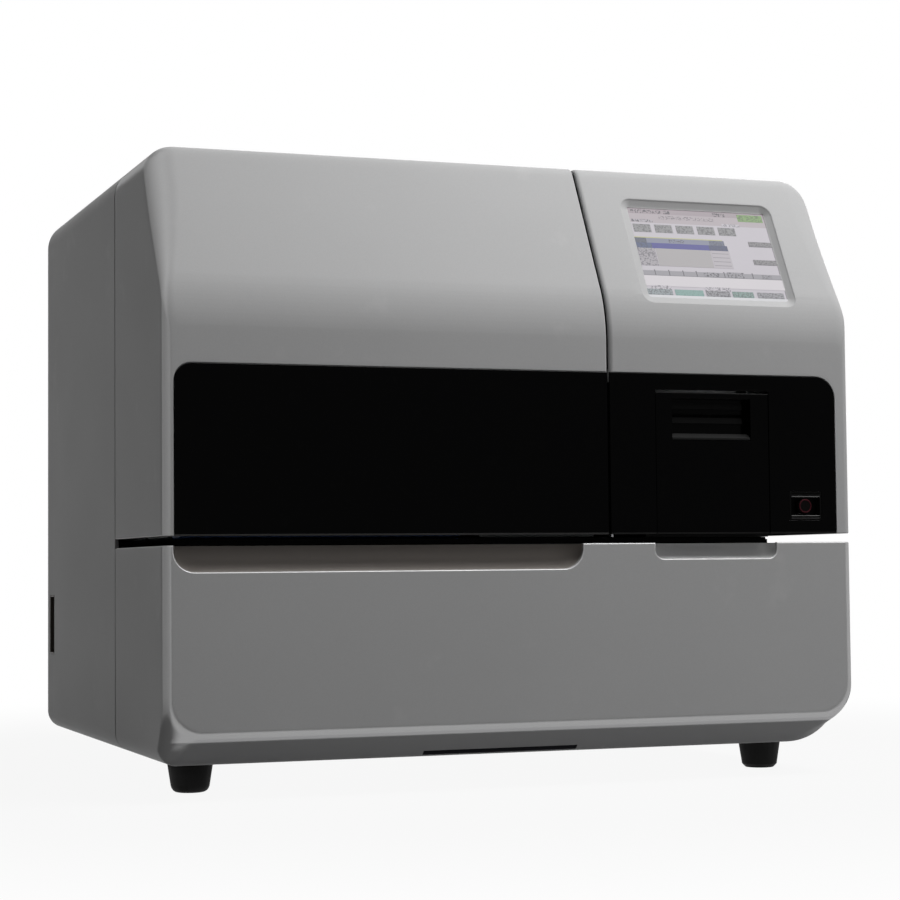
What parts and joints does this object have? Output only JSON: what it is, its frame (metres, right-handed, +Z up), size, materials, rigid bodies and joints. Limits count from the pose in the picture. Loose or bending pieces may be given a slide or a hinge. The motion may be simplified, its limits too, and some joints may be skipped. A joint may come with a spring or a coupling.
{
  "type": "coagulation analyzer",
  "caption": "Bench-top blood coagulation analyzer with a windowed lift-up lid, a touch screen, a built-in printer, a pipetting gantry and removable racks.",
  "frame": {"origin": "on the table under the middle of the cabinet", "axes": "+X to the right as seen from the front, +Y from the front towards the back, +Z up"},
  "size_m": [0.566, 0.49, 0.49],
  "materials": {
    "silver_paint": "satin metallic silver paint over moulded plastic",
    "smoked_acrylic": "glossy, smoked nearly black",
    "black_gloss": "glossy",
    "black_plastic": "fine texture",
    "black_metal": "semi-matt powder coat",
    "rubber": "matt",
    "screen": "lit display under a touch film",
    "zinc_sheet": "zinc-plated sheet",
    "aluminium": "clear anodised",
    "steel": "polished",
    "motor_body": "black oxide and bare laminations",
    "power_unit": "perforated sheet box",
    "white_plastic": "satin",
    "grey_plastic": "satin",
    "blue_plastic": "satin",
    "paper": "thermal paper, matt",
    "circuit_board": "green solder mask"
  },
  "bodies": {
    "cabinet": {"rear_housing": "silver_paint", "lower_front_cover": "silver_paint", "display_housing": "silver_paint", "right_front_panel": "black_gloss", "touch_screen": "screen", "stop_switch_well": "black_plastic", "printer_frame": "zinc_sheet", "foot_front_left": "rubber", "foot_front_right": "rubber", "foot_rear_left": "rubber", "foot_rear_right": "rubber", "chassis": "zinc_sheet", "partition_wall": "zinc_sheet", "bay_back_wall": "black_plastic", "deck_plate": "black_metal", "hinge_frame": "zinc_sheet", "detector_block": "aluminium", "rinse_station": "white_plastic", "x_rail": "aluminium", "x_motor": "motor_body", "x_belt": "rubber", "rear_panel": "zinc_sheet", "fan_frame": "black_plastic", "fan_guard": "steel", "power_inlet": "black_plastic", "interface_board": "circuit_board", "fluid_ports": "white_plastic", "switch_well": "black_plastic", "power_supply": "power_unit", "main_board": "circuit_board", "syringe_pump": "aluminium"},
    "lid": {"lid_shell": "silver_paint", "lid_window": "smoked_acrylic", "lid_hinge_ears": "aluminium"},
    "printer_door": {"printer_door": "black_gloss", "tear_bar": "steel"},
    "stop_button": {"stop_button": "black_plastic"},
    "platen": {"platen_roller": "rubber"},
    "paper": {"paper_roll": "paper"},
    "gantry": {"x_carriage": "aluminium", "y_arm": "aluminium"},
    "drive_pulley": {"drive_pulley": "aluminium"},
    "idler_pulley": {"idler_pulley": "aluminium"},
    "head": {"y_carriage": "grey_plastic"},
    "probe": {"probe_holder": "white_plastic", "probe_needle": "steel"},
    "catcher": {"catcher_head": "white_plastic"},
    "finger_left": {"catcher_finger_left": "steel"},
    "finger_right": {"catcher_finger_right": "steel"},
    "sample_rack": {"sample_rack": "blue_plastic"},
    "reagent_rack": {"reagent_rack": "grey_plastic"},
    "tube_rack_left": {"tube_rack_left": "white_plastic"},
    "tube_rack_right": {"tube_rack_right": "white_plastic"},
    "trash_bin": {"trash_bin": "grey_plastic"},
    "plunger": {"syringe_plunger": "steel"},
    "fan": {"fan_rotor": "black_plastic"},
    "rocker": {"power_rocker": "black_plastic"}
  },
  "joints": [
    {"name": "lid_hinge", "type": "hinge", "parent": "cabinet", "child": "lid", "pos_m": [-0.1066, -0.105, 0.482], "axis": [-1, 0, 0], "range_deg": [0, 70]},
    {"name": "printer_door_hinge", "type": "hinge", "parent": "cabinet", "child": "printer_door", "pos_m": [0.1595, -0.2412, 0.3021], "axis": [-1, 0, 0], "range_deg": [0, 90]},
    {"name": "stop_button_press", "type": "slide", "parent": "cabinet", "child": "stop_button", "axis": [0, 1, 0], "range_m": [0, 0.002], "stiffness_N_per_m": 500, "springref_m": -0.001},
    {"name": "platen_spin", "type": "hinge", "parent": "cabinet", "child": "platen", "pos_m": [0.1595, -0.215, 0.2905], "axis": [1, 0, 0], "continuous": true},
    {"name": "paper_roll_spin", "type": "hinge", "parent": "cabinet", "child": "paper", "pos_m": [0.1595, -0.189, 0.2325], "axis": [1, 0, 0], "continuous": true},
    {"name": "gantry_slide", "type": "slide", "parent": "cabinet", "child": "gantry", "axis": [1, 0, 0], "range_m": [-0.27, 0]},
    {"name": "drive_pulley_spin", "type": "hinge", "parent": "cabinet", "child": "drive_pulley", "pos_m": [0.0556, 0.075, 0.4253], "axis": [0, -1, 0], "range_deg": [-1600, 10]},
    {"name": "idler_pulley_spin", "type": "hinge", "parent": "cabinet", "child": "idler_pulley", "pos_m": [-0.2587, 0.075, 0.4253], "axis": [0, -1, 0], "range_deg": [-1600, 10]},
    {"name": "head_slide", "type": "slide", "parent": "gantry", "child": "head", "axis": [0, 1, 0], "range_m": [-0.185, 0.012]},
    {"name": "probe_slide", "type": "slide", "parent": "head", "child": "probe", "axis": [0, 0, -1], "range_m": [0, 0.072]},
    {"name": "catcher_slide", "type": "slide", "parent": "head", "child": "catcher", "axis": [0, 0, -1], "range_m": [0, 0.072]},
    {"name": "finger_left_slide", "type": "slide", "parent": "catcher", "child": "finger_left", "axis": [-1, 0, 0], "range_m": [0, 0.003]},
    {"name": "finger_right_slide", "type": "slide", "parent": "catcher", "child": "finger_right", "axis": [1, 0, 0], "range_m": [0, 0.003]},
    {"name": "sample_rack_lift", "type": "slide", "parent": "cabinet", "child": "sample_rack", "axis": [0, 0, 1], "range_m": [0, 0.06]},
    {"name": "reagent_rack_lift", "type": "slide", "parent": "cabinet", "child": "reagent_rack", "axis": [0, 0, 1], "range_m": [0, 0.06]},
    {"name": "tube_rack_left_lift", "type": "slide", "parent": "cabinet", "child": "tube_rack_left", "axis": [0, 0, 1], "range_m": [0, 0.06]},
    {"name": "tube_rack_right_lift", "type": "slide", "parent": "cabinet", "child": "tube_rack_right", "axis": [0, 0, 1], "range_m": [0, 0.06]},
    {"name": "trash_bin_lift", "type": "slide", "parent": "cabinet", "child": "trash_bin", "axis": [0, 0, 1], "range_m": [0, 0.08]},
    {"name": "plunger_slide", "type": "slide", "parent": "cabinet", "child": "plunger", "axis": [0, 0, 1], "range_m": [0, 0.022]},
    {"name": "fan_spin", "type": "hinge", "parent": "cabinet", "child": "fan", "pos_m": [0.16, 0.21435, 0.33], "axis": [0, 1, 0], "continuous": true},
    {"name": "rocker_hinge", "type": "hinge", "parent": "cabinet", "child": "rocker", "pos_m": [-0.27375, 0.20505, 0.1276], "axis": [0, 1, 0], "range_deg": [0, 18]}
  ],
  "couplings": [
    {"joint": "paper_roll_spin", "follows": "platen_spin", "ratio": 0.25},
    {"joint": "drive_pulley_spin", "follows": "gantry_slide", "rad_per_m": 99},
    {"joint": "idler_pulley_spin", "follows": "gantry_slide", "rad_per_m": 99},
    {"joint": "finger_right_slide", "follows": "finger_left_slide", "ratio": 1}
  ]
}
